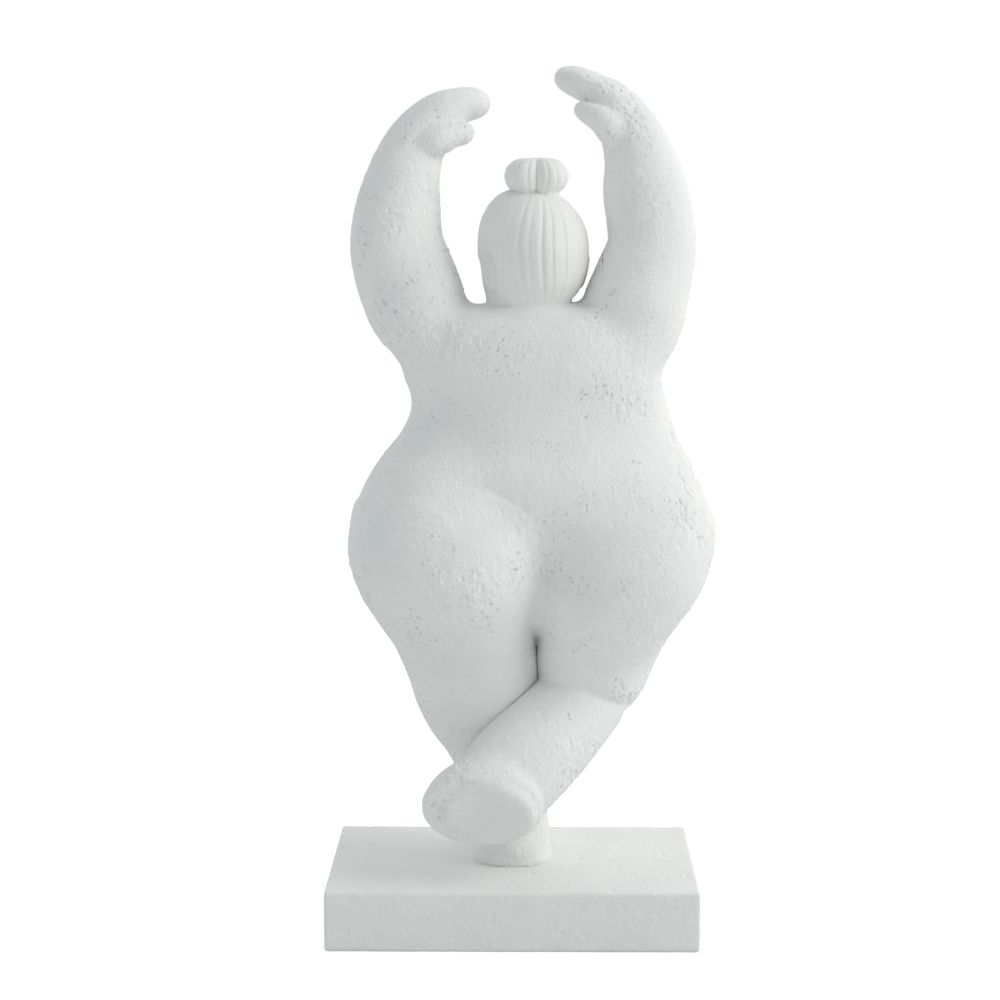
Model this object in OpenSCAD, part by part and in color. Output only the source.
// White bisque figurine of a round, full-figured dancer on a rectangular plinth.
// The figure stands on its left foot, the right leg is bent and crosses behind it, and both
// arms are raised in a ring over the head. Millimetres, +Z up, and the figure faces +Y.
// The origin is the middle of the face that the figurine stands on.
// Each clay section is a hollow slip casting, butted and luted to the next one.
// A steel rod runs from under the plinth up the standing leg and carries the figure.

/* [Plinth] */
// Width of the plinth, left to right
plinth_w = 160; // [150:1:190]
// Depth of the plinth, back to front
plinth_d = 108; // [100:1:140]
// Height of the plinth
plinth_h = 26; // [22:1:32]
// Wall and top thickness of the hollow plinth
plinth_wall = 9; // [7:1:11]
// Softened edge along the top of the plinth
plinth_edge = 1; // [0.5:0.25:2]
// Thickness of the felt sheet, and depth of the recess that it lies in
felt_t = 1; // [0.5:0.25:2]
// Width of the plinth's bare rim round the felt
felt_inset = 3; // [2:1:6]

/* [Clay] */
// Wall thickness of the slip-cast sections
wall = 5; // [4:0.5:6]
// Points round each body and limb section
section_points = 32; // [24:4:40]
// Slices between two stations of the body and limbs
slices = 2; // [1:1:3]

// Length of the registers that key one section into the next
register_l = 6; // [4:1:8]
// Gap for slip round each register
register_gap = 0.2; // [0.1:0.05:0.4]

/* [Steel rod] */
// Diameter of the rod
rod_d = 8; // [6:1:9]
// Diameter of the bore that the rod passes through
rod_bore_d = 8.6; // [8.2:0.1:10]
// Height of the rod's top end above the table
rod_top_z = 150; // [130:5:170]
// Across-flats size of the nut
nut_flats = 13; // [10:1:15]
// Thickness of the nut
nut_t = 6.5; // [5:0.5:8]
// Outside diameter of the washer
washer_d = 24; // [18:1:30]
// Thickness of the washer
washer_t = 2; // [1:0.5:3]

/* [Head] */
// Width of the head over the hair
head_w = 48; // [44:1:50]
// Depth of the head, nape to brow
head_d = 52; // [48:1:56]
// Height of the head from the neck joint to the crown
head_h = 52; // [48:1:54]
// How far the head is turned to the figure's left, in degrees
head_turn = 18; // [0:1:25]
// Width of the hair bun
bun_w = 26; // [22:1:30]
// Height of the hair bun
bun_h = 17; // [14:1:20]

/* [Hidden] */
big = 400;
overlap = 0.5;
bisque = [0.88, 0.89, 0.87];

plinth_top_z = plinth_h;

// Heights on the figure, all above the table for a plinth 26 high
station_base_z = 26;
ankle_z = station_base_z + 17;
leg_joint_z = 124;
neck_z = 271;
arm_joint_z = 276;
crown_z = neck_z + head_h;
bun_seat_z = crown_z - 3;

// The rod stands where it clears the walls of the leaning leg
rod_pos = [-5, 3];
rod_bottom_z = felt_t + 1;
washer_z = plinth_top_z - plinth_wall - washer_t;
nut_z = washer_z - nut_t;
boss_d = washer_d + 8;

// Middle of the head and of the bun
head_pos = [8.7, 2];
bun_pos = [10, -3];

// Torso stations: height, left edge, right edge, back, front
torso_stations = [
    [126.5, -12, 30, -12, 10],
    [130, -36, 52, -20, 22],
    [137, -52, 66, -29, 36],
    [148, -63, 80, -35, 47],
    [160, -68, 86, -38, 54],
    [172, -70.5, 87.5, -39.5, 59],
    [184, -70, 86, -40, 61],
    [200, -61.5, 79, -36, 58],
    [215, -50.5, 71.5, -30, 48],
    [229, -44.5, 67, -27.5, 38],
    [243, -49, 65.2, -29, 34],
    [255, -55.5, 69.8, -27.5, 31],
    [262, -57.5, 71.5, -24.5, 27],
    [267.5, -53, 67, -20, 22],
    [271.5, -43, 57, -14, 15],
    [273.5, -26, 42, -6, 8],
];

// Buttock, thigh and lower leg on the standing side, level sections downwards:
// centre x, y, z, then half width and half depth
left_leg_stations = [
    [-18, 0, 206, 16, 8],
    [-20, -2, 201, 30, 18],
    [-21.5, -4, 192, 40, 29],
    [-23, -6, 181, 46.5, 38.5],
    [-23, -6.5, 170, 49, 43.5],
    [-23.5, -6, 158, 47, 46],
    [-24.5, -4, 147, 42.3, 45.5],
    [-24.3, -2, 136, 37.6, 42.5],
    [-21.6, 0, 126, 33.4, 38],
    [-20.2, 1, 120, 31.9, 34.5],
    [-17.6, 2, 108, 28.8, 30],
    [-17.2, 3, 96, 25.4, 26.5],
    [-14.5, 3.5, 85, 22.4, 23],
    [-9.5, 3, 74, 19.4, 20.5],
    [-5, 2.5, 62, 17.8, 19],
    [-2, 2.5, 51, 16.9, 17.5],
    [0, 3, 40, 16.6, 17],
];

// Buttock and thigh on the other side, down to the round of the knee
right_thigh_stations = [
    [38, 0, 206, 15, 8],
    [40, -1.5, 201, 27, 17.5],
    [41.5, -3.5, 192, 36, 28],
    [43.2, -5, 181, 42.8, 37.5],
    [43.8, -5.5, 170, 45, 42.5],
    [44.5, -5, 158, 42.5, 45],
    [45, -3.5, 147, 37.2, 44.5],
    [43, -2, 136, 32.2, 41.5],
    [39.9, 0, 126, 28.4, 37],
    [38.4, 3, 118, 26.8, 32.5],
    [37, 7, 110, 24.6, 27.5],
    [35.8, 9.5, 102, 21.4, 24],
    [33.8, 11, 94, 17.6, 20],
    [32.5, 11.5, 88, 11.5, 13],
    [32, 12, 85, 3, 4],
];

// Limb stations: centre x, y, z, then half width and half depth of the section
left_arm_stations = [
    [-30, 1, 246, 16, 17],
    [-35.6, 1, 257, 19.6, 21],
    [-40.8, 1.5, 268, 21.6, 22.4],
    [-45.2, 2.5, 280, 22, 22],
    [-49.6, 4, 296, 21, 20.5],
    [-49.6, 6.5, 310, 19.3, 19],
    [-47.6, 9.5, 323, 17, 17],
    [-45, 12, 333, 15.2, 15.8],
    [-41.5, 14, 341, 13.8, 15.5],
    [-36.5, 16, 347.5, 12, 15.2],
    [-30.5, 18, 353.6, 9.6, 14.8],
    [-23.5, 20, 357.4, 7.8, 13.6],
    [-17, 22, 358.8, 7, 12],
    [-12.4, 23, 359.2, 5, 9],
    [-10.2, 23.5, 359.2, 1.5, 3],
];
right_arm_stations = [
    [44, 1, 246, 17, 17],
    [48.5, 1, 257, 21.5, 21],
    [51.8, 1.5, 268, 22.4, 22.4],
    [55.4, 2.5, 280, 21.4, 22],
    [59.7, 4, 296, 19.2, 20],
    [59, 6.5, 309, 18.8, 19],
    [57, 9.5, 321, 18.2, 18],
    [55.3, 12, 332, 15.8, 16.4],
    [51.8, 14, 343, 13.6, 15.5],
    [47.5, 16, 350.5, 12, 15.2],
    [42.5, 18, 358.4, 9.8, 14.8],
    [36.5, 20, 363.4, 7.6, 13.8],
    [29, 22, 367.2, 7, 12.2],
    [22.2, 23, 369.2, 5.2, 9],
    [19, 23.5, 369.8, 1.5, 3],
];
left_thumb_stations = [
    [-36, 8, 343, 4, 4.5],
    [-31, 8, 344.5, 5.5, 5.5],
    [-26, 9, 345.4, 5.4, 5.4],
    [-20.5, 10.5, 346, 4.6, 5],
    [-17, 11.5, 346, 1.5, 2],
];
right_thumb_stations = [
    [46, 8, 345, 4, 4.5],
    [41, 8, 348.5, 5.2, 5.5],
    [36.4, 9, 352.4, 4.8, 5],
    [31.2, 10.5, 355.6, 4, 4.2],
    [28, 11.5, 356.8, 1.2, 1.5],
];
crossed_calf_stations = [
    [38, 6, 108, 15, 16],
    [33, 0, 103, 21.5, 21],
    [26, -7, 96.5, 22, 22],
    [17.5, -14.5, 87.6, 22, 21.5],
    [9, -22, 79.8, 22, 20.5],
    [1, -28, 72.4, 21.8, 19.5],
    [-5, -33, 66.6, 20.2, 18],
    [-8, -36, 64, 13, 12],
];
// The raised foot's sections, from its upper side out to the sole that faces back
crossed_foot_stations = [
    [-8, -29, 69, 14, 14],
    [-9.4, -32.5, 67, 19, 17],
    [-11.2, -36.5, 65, 23.5, 18.6],
    [-12.5, -40.5, 63, 26, 18.8],
    [-13.1, -44, 61.2, 26.2, 18],
    [-13.4, -46.6, 59.8, 24.4, 16],
    [-13.5, -47.8, 59.2, 20, 12.2],
    [-13.5, -48.2, 59, 14, 8],
];
standing_foot_stations = [
    [0, -14.2, 35, 6, 6],
    [0, -12, 36, 12, 11],
    [0, -5, 37.5, 15.4, 15],
    [0.3, 5, 37, 16, 16],
    [0.6, 16, 33.5, 16.2, 14],
    [0.8, 28, 29.5, 16.2, 11.5],
    [1, 39, 27, 15.4, 8.5],
    [1.2, 46.5, 26.2, 11.8, 6],
    [1.4, 49.5, 26, 5.4, 3],
];

// ---------- Curves and sections ----------

// The point at share t between b and c on a smooth curve through a, b, c and d
function curve_point(a, b, c, d, t) =
    0.5 * (2 * b + (c - a) * t + (2 * a - 5 * b + 4 * c - d) * t * t
        + (3 * b - a - 3 * c + d) * t * t * t);

// The stations with more of them between, on a smooth curve
function smoothed(st, steps) = [
    for (i = [0:len(st) - 2], k = [0:steps - 1])
        curve_point(st[max(i - 1, 0)], st[i], st[i + 1], st[min(i + 2, len(st) - 1)], k / steps),
    st[len(st) - 1]
];

function unit(v) = v / norm(v);
function place(s) = [s[0], s[1], s[2]];

// Signed power, for sections a little squarer than an ellipse
function squarer(v, power) = sign(v) * pow(abs(v), power);

// One level slice of the torso, from a station of edges
function torso_ring(s, inset = 0) =
    let (cx = (s[1] + s[2]) / 2, cy = (s[3] + s[4]) / 2,
         a = (s[2] - s[1]) / 2 - inset, b = (s[4] - s[3]) / 2 - inset)
    [for (k = [0:section_points - 1])
        let (q = 360 * k / section_points)
        [cx + a * squarer(cos(q), 0.9), cy + b * squarer(sin(q), 0.9), s[0]]];

// One slice of a limb, square to the way the limb runs; side lies across the limb
function limb_ring(s, along, hint, inset = 0) =
    let (side = unit(cross(along, hint)), deep = cross(side, along),
         a = max(s[3] - inset, 0.6), b = max(s[4] - inset, 0.6))
    [for (k = [0:section_points - 1])
        let (q = 360 * k / section_points)
        place(s) + a * cos(q) * side + b * sin(q) * deep];

function limb_rings(st, hint, inset = 0) =
    let (p = smoothed(st, slices), last = len(p) - 1)
    [for (i = [0:last])
        limb_ring(p[i], unit(place(p[min(i + 1, last)]) - place(p[max(i - 1, 0)])), hint, inset)];

// A closed skin over a row of rings, each clockwise as seen from the last one
module skin(rings) {
    n = len(rings[0]);
    last = len(rings) - 1;
    sides = [
        for (r = [0:last - 1], k = [0:n - 1])
            let (a = r * n + k, b = r * n + (k + 1) % n)
            each [[a, b, b + n], [a, b + n, a + n]]
    ];
    polyhedron(
        points = [for (r = rings, p = r) p],
        faces = concat(
            [[for (k = [n - 1:-1:0]) k]], sides, [[for (k = [0:n - 1]) last * n + k]]
        )
    );
}

// A body of rings, built slab by slab so that every slab is convex
module lofted(rings) {
    for (i = [0:len(rings) - 2]) hull() skin([rings[i], rings[i + 1]]);
}

module limb(st, hint = [0, 1, 0], inset = 0) {
    lofted(limb_rings(st, hint, inset));
}

// A leg, with level sections that are a little square
function level_ring(s, inset = 0) =
    [for (k = [0:section_points - 1])
        let (q = -360 * k / section_points)
        [s[0] + max(s[3] - inset, 0.6) * squarer(cos(q), 0.88),
         s[1] + max(s[4] - inset, 0.6) * squarer(sin(q), 0.88), s[2]]];

module leg(st, inset = 0) {
    lofted([for (s = smoothed(st, slices)) level_ring(s, inset)]);
}

module egg(pos, size, turn = 0, points = 32) {
    translate(pos) rotate([0, 0, turn]) scale(size) sphere(r = 1, $fn = points);
}

// ---------- Half spaces that part the clay sections ----------

// Stands the figure on the plinth, whatever the plinth's height
module on_plinth() {
    translate([0, 0, plinth_top_z - station_base_z]) children();
}

module above(z) {
    translate([-big / 2, -big / 2, z]) cube([big, big, big]);
}

module below(z) {
    translate([-big / 2, -big / 2, z - big]) cube([big, big, big]);
}

// The side of a plane that its normal points to
module beyond(point, normal) {
    translate(point) rotate(way_turn(normal)) translate([-big / 2, -big / 2, 0]) cube([big, big, big]);
}

function way_turn(way) = [0, acos(unit(way)[2]), atan2(way[1], way[0])];

// A peg, or the hole for one, that runs back from a joint plane
module peg(point, way, r, length) {
    translate(point) rotate(way_turn(way)) translate([0, 0, -length])
        cylinder(r = r, h = length + 3, $fn = 24);
}

left_wrist = [-42, 14, 340];
left_wrist_way = [0.55, 0.15, 0.82];
right_wrist = [51.5, 14, 343];
right_wrist_way = [-0.5, 0.15, 0.85];
knee_fold = [31, -22, 103];
knee_way = [-0.3, -0.45, -0.84];
crossed_ankle = [-5, -33, 68];
crossed_ankle_way = [-0.45, -0.7, -0.55];

// Radii of the registers at the neck, shoulders, thighs and pegged joints
neck_register_r = 11;
arm_register_r = 13;
thigh_register_r = 16;
core_register_r = 22;
peg_r = 5;
arm_register_pos = [[-43, 2], [53, 2]];
thigh_register_pos = [41, 0];
core_register_pos = [-22, 1];

// ---------- Plinth and fastening ----------

module plinth() {
    color(bisque) difference() {
        hull() {
            translate([-plinth_w / 2, -plinth_d / 2, 0])
                cube([plinth_w, plinth_d, plinth_h - plinth_edge]);
            translate([plinth_edge - plinth_w / 2, plinth_edge - plinth_d / 2, 0])
                cube([plinth_w - 2 * plinth_edge, plinth_d - 2 * plinth_edge, plinth_h]);
        }
        // Recess for the felt, flush with the rim
        translate([felt_inset - plinth_w / 2, felt_inset - plinth_d / 2, -overlap])
            cube([plinth_w - 2 * felt_inset, plinth_d - 2 * felt_inset, felt_t + overlap]);
        // Open hollow under the block, with a round boss left round the rod
        difference() {
            translate([plinth_wall - plinth_w / 2, plinth_wall - plinth_d / 2, 0])
                cube([plinth_w - 2 * plinth_wall, plinth_d - 2 * plinth_wall,
                      plinth_top_z - plinth_wall]);
            translate([rod_pos[0], rod_pos[1], 0])
                cylinder(d = boss_d, h = plinth_top_z, $fn = 48);
        }
        // Pocket for the washer and nut, and the bore for the rod
        translate([rod_pos[0], rod_pos[1], 0]) {
            cylinder(d = washer_d + 1, h = washer_z + washer_t, $fn = 48);
            cylinder(d = rod_bore_d, h = big, $fn = 32);
        }
    }
}

module base_felt() {
    color("dimgray") translate([felt_inset - plinth_w / 2, felt_inset - plinth_d / 2, 0])
        cube([plinth_w - 2 * felt_inset, plinth_d - 2 * felt_inset, felt_t]);
}

module support_rod() {
    chamfer = 1;
    color("silver") translate([rod_pos[0], rod_pos[1], rod_bottom_z]) {
        cylinder(d1 = rod_d - 2 * chamfer, d2 = rod_d, h = chamfer, $fn = 32);
        translate([0, 0, chamfer])
            cylinder(d = rod_d, h = rod_top_z - rod_bottom_z - 2 * chamfer, $fn = 32);
        translate([0, 0, rod_top_z - rod_bottom_z - chamfer])
            cylinder(d1 = rod_d, d2 = rod_d - 2 * chamfer, h = chamfer, $fn = 32);
    }
}

module rod_washer() {
    color("silver") translate([rod_pos[0], rod_pos[1], washer_z]) difference() {
        cylinder(d = washer_d, h = washer_t, $fn = 48);
        translate([0, 0, -overlap]) cylinder(d = rod_bore_d, h = washer_t + 2 * overlap, $fn = 32);
    }
}

module rod_nut() {
    color("silver") translate([rod_pos[0], rod_pos[1], nut_z]) difference() {
        cylinder(d = nut_flats / cos(30), h = nut_t, $fn = 6);
        translate([0, 0, -overlap]) cylinder(d = rod_d + 0.1, h = nut_t + 2 * overlap, $fn = 32);
    }
}

// Plaster poured round the rod inside the standing leg
module leg_core() {
    lower = [for (s = smoothed(left_leg_stations, slices)) if (s[2] < leg_joint_z - 3) s];
    top = [for (s = smoothed(left_leg_stations, slices)) if (s[2] < leg_joint_z + 2) s][0];
    color("gainsboro") on_plinth() difference() {
        union() {
            intersection() {
                lofted([for (s = concat([top], lower)) level_ring(s, wall)]);
                translate([-big / 2, -big / 2, ankle_z])
                    cube([big, big, leg_joint_z - ankle_z]);
            }
            // The plug that stands up into the torso
            translate([core_register_pos[0], core_register_pos[1], leg_joint_z - 3])
                cylinder(r = core_register_r - register_gap, h = 2 * register_l + 3, $fn = 32);
        }
        translate([rod_pos[0], rod_pos[1], 0]) cylinder(d = rod_d + 0.1, h = big, $fn = 32);
    }
}

// ---------- Figure ----------

module torso_form() {
    lofted([for (s = smoothed(torso_stations, slices)) torso_ring(s)]);
    leg(left_leg_stations);
    leg(right_thigh_stations);
    // Bust
    for (x = [-14, 33]) egg([x, 19, 236], [24, 24, 20], points = 28);
    limb(left_arm_stations);
    limb(right_arm_stations);
    translate([head_pos[0], head_pos[1], 255]) cylinder(r1 = 26, r2 = 20, h = 16, $fn = 40);
}

module torso_hollow() {
    lofted([
        for (s = smoothed(torso_stations, 1))
            if (s[0] > 136 && s[0] < 268) torso_ring(s, wall + 3)
    ]);
    // Openings into the neck, the arms and the thighs, which take the registers
    translate([head_pos[0], head_pos[1], 250]) cylinder(r = neck_register_r, h = 40, $fn = 24);
    for (p = arm_register_pos)
        translate([p[0], p[1], 255]) cylinder(r = arm_register_r, h = 40, $fn = 24);
    translate([core_register_pos[0], core_register_pos[1], 110])
        cylinder(r = core_register_r, h = 50, $fn = 32);
    translate([thigh_register_pos[0], thigh_register_pos[1], 110])
        cylinder(r = thigh_register_r, h = 50, $fn = 32);
}

module torso() {
    color(bisque) on_plinth() difference() {
        intersection() {
            torso_form();
            translate([-big / 2, -big / 2, leg_joint_z])
                cube([big, big, arm_joint_z - leg_joint_z]);
        }
        // The head stands on the neck joint, between the two arms
        intersection() {
            head_form();
            above(neck_z);
        }
        torso_hollow();
    }
}

// Height over the neck joint, then shares of the head's full width and depth
head_stations = [
    [-2, 0.75, 0.66], [4, 0.83, 0.76], [12, 0.94, 0.93], [24, 1, 1],
    [34, 0.96, 0.95], [42, 0.8, 0.8], [47.5, 0.58, 0.58], [50.6, 0.26, 0.26],
];

// Relief of the face and ears: place across and up the face, then spread and height
face_relief = [
    [0, 19, 2.8, 4.5, 4.2], [0, 28.5, 12, 3, 0.7], [-8, 25, 4, 3, -1.4], [8, 25, 4, 3, -1.4],
    [-10, 14.5, 5.5, 6, 1.3], [10, 14.5, 5.5, 6, 1.3], [0, 11.5, 5, 2.2, 1.6], [0, 5, 7, 4, 2.6],
];
ear_y = -6;
ear_up = 17.5;

function mound(u, v, su, sv) = exp(-pow(u / su, 2) - pow(v / sv, 2));

// How far the head stands out at a place on it, with x across, y forwards and up from the joint
function relief(x, y, up) =
    y > 0
        ? [for (f = face_relief) f[4] * mound(x - f[0], up - f[1], f[2], f[3])]
            * [for (f = face_relief) 1]
        : 2 * mound(y - ear_y, up - ear_up, 4.5, 8) * pow(abs(x) / head_w * 2, 4);

function head_ring(s) =
    let (points = 48)
    [for (k = [0:points - 1])
        let (q = -360 * k / points,
             x = head_w / 2 * s[1] * cos(q), y = head_d / 2 * s[2] * sin(q),
             out = 1 + relief(x, y, s[0]) / norm([x, y]))
        [x * out, y * out, neck_z + s[0] * head_h / 52]];

module head_form() {
    translate([head_pos[0], head_pos[1], 0]) rotate([0, 0, head_turn])
        skin([for (s = smoothed(head_stations, 3)) head_ring(s)]);
}

// The head with its register, cut flat on the crown where the bun sits
module head() {
    color(bisque) on_plinth() resize([0, 0, 0]) difference() {
        union() {
            intersection() {
                head_form();
                above(neck_z);
                below(bun_seat_z);
            }
            translate([head_pos[0], head_pos[1], neck_z - register_l])
                cylinder(r = neck_register_r - register_gap, h = register_l + 3, $fn = 24);
        }
        // Hollow, open at the neck joint
        egg([head_pos[0], head_pos[1], neck_z + 25], [head_w / 2 - wall, head_d / 2 - wall, 19],
            points = 24);
        translate([head_pos[0], head_pos[1], neck_z - register_l - overlap])
            cylinder(r = neck_register_r - 4, h = 20, $fn = 24);
        translate([bun_pos[0], bun_pos[1], neck_z + 35]) cylinder(r = peg_r, h = 30, $fn = 24);
    }
}

// Share of the bun's height over the crown, then share of its full width
bun_stations = [
    [0, 0.76], [0.14, 0.86], [0.34, 0.97], [0.55, 1], [0.72, 0.97], [0.82, 0.84], [0.86, 0.45],
];

// How far the outline of two overlapping ovals lies from their middle, at an angle
function two_lobes(q, a, b, apart) =
    let (c = abs(cos(q)), k = c * c / (a * a) + pow(sin(q) / b, 2), m = apart * c / (a * a))
    (m + sqrt(m * m + k * (1 - apart * apart / (a * a)))) / k;

// The bun: two lobes side by side, gathered in pleats
module bun_form() {
    points = 48;
    pleats = 12;
    skin([
        for (s = bun_stations)
            [for (k = [0:points - 1])
                let (q = -360 * k / points,
                     out = s[1] * (1 + 0.035 * cos(pleats * q))
                         * two_lobes(q, bun_w * 0.325, bun_w * 0.42, bun_w * 0.19))
                [bun_pos[0] + out * cos(q), bun_pos[1] + out * sin(q), bun_seat_z + bun_h * s[0]]]
    ]);
}

// The bun rests on the crown and is pegged into it
module hair_bun() {
    color(bisque) on_plinth() resize([0, 0, 0]) union() {
        bun_form();
        translate([bun_pos[0], bun_pos[1], bun_seat_z - register_l])
            cylinder(r = peg_r - register_gap, h = register_l + 3, $fn = 24);
    }
}

// A hollow arm from the shoulder joint to the wrist joint, keyed into the shoulder
module arm(stations, wrist, wrist_way, register_pos) {
    color(bisque) on_plinth() difference() {
        union() {
            difference() {
                limb(stations);
                below(arm_joint_z);
                beyond(wrist, wrist_way);
            }
            translate([register_pos[0], register_pos[1], arm_joint_z - register_l])
                cylinder(r = arm_register_r - register_gap, h = register_l + 3, $fn = 24);
        }
        intersection() {
            limb(stations, inset = wall);
            above(arm_joint_z + register_l);
            below(wrist[2] - 14);
        }
        translate([register_pos[0], register_pos[1], arm_joint_z - register_l - overlap])
            cylinder(r = arm_register_r - 4, h = 2 * register_l + 2, $fn = 24);
        peg(wrist, wrist_way, peg_r, 20);
    }
}

module left_arm() {
    arm(left_arm_stations, left_wrist, left_wrist_way, arm_register_pos[0]);
}

module right_arm() {
    arm(right_arm_stations, right_wrist, right_wrist_way, arm_register_pos[1]);
}

// A mitten of joined fingers with its thumb, pegged into the arm at the wrist joint
module hand(stations, thumb_stations, wrist, wrist_way) {
    color(bisque) on_plinth() union() {
        intersection() {
            union() {
                limb(stations);
                limb(thumb_stations);
            }
            beyond(wrist, wrist_way);
        }
        peg(wrist, wrist_way, peg_r - register_gap, register_l);
    }
}

module left_hand() {
    hand(left_arm_stations, left_thumb_stations, left_wrist, left_wrist_way);
}

module right_hand() {
    hand(right_arm_stations, right_thumb_stations, right_wrist, right_wrist_way);
}

module standing_leg_form(inset = 0) {
    leg(left_leg_stations, inset);
}

module standing_leg() {
    color(bisque) on_plinth() difference() {
        intersection() {
            standing_leg_form();
            translate([-big / 2, -big / 2, ankle_z])
                cube([big, big, leg_joint_z - ankle_z]);
        }
        standing_leg_form(inset = wall);
    }
}

// Solid foot with a flat sole, bored for the rod
module standing_foot() {
    color(bisque) on_plinth() difference() {
        intersection() {
            union() {
                limb(standing_foot_stations, hint = [0, 0, 1]);
                standing_leg_form();
                translate([0, 3, 30]) scale([17.2, 17.4, 1]) cylinder(r = 1, h = 12, $fn = 40);
            }
            translate([-50, -50, station_base_z]) cube([100, 150, ankle_z - station_base_z]);
        }
        translate([rod_pos[0], rod_pos[1], 0]) cylinder(d = rod_bore_d, h = big, $fn = 32);
    }
}

// The bent leg in one: thigh, calf and foot
module crossed_leg_form() {
    leg(right_thigh_stations);
    limb(crossed_calf_stations);
    limb(crossed_foot_stations, hint = [0, 0, 1]);
}

// Hollow and keyed into the torso at the top, and luted to the calf at the fold of the knee
module crossed_thigh() {
    color(bisque) on_plinth() difference() {
        union() {
            difference() {
                crossed_leg_form();
                above(leg_joint_z);
                beyond(knee_fold, knee_way);
                standing_leg_form();
            }
            translate([thigh_register_pos[0], thigh_register_pos[1], leg_joint_z - 3])
                cylinder(r = thigh_register_r - register_gap, h = register_l + 3, $fn = 32);
        }
        intersection() {
            leg(right_thigh_stations, wall + 1);
            above(99);
            below(leg_joint_z - register_l);
        }
        translate([thigh_register_pos[0], thigh_register_pos[1], leg_joint_z - register_l - 1])
            cylinder(r = thigh_register_r - 5, h = 3 * register_l, $fn = 32);
    }
}

module crossed_calf() {
    color(bisque) on_plinth() difference() {
        intersection() {
            crossed_leg_form();
            beyond(knee_fold, knee_way);
        }
        beyond(crossed_ankle, crossed_ankle_way);
        standing_leg_form();
        peg(crossed_ankle, crossed_ankle_way, peg_r, register_l + 0.5);
    }
}

module crossed_foot() {
    color(bisque) on_plinth() union() {
        difference() {
            intersection() {
                crossed_leg_form();
                beyond(knee_fold, knee_way);
                beyond(crossed_ankle, crossed_ankle_way);
            }
            standing_leg_form();
        }
        peg(crossed_ankle, crossed_ankle_way, peg_r - register_gap, register_l);
    }
}

plinth();
base_felt();
support_rod();
rod_washer();
rod_nut();
leg_core();
torso();
head();
hair_bun();
left_arm();
right_arm();
left_hand();
right_hand();
standing_leg();
standing_foot();
crossed_thigh();
crossed_calf();
crossed_foot();
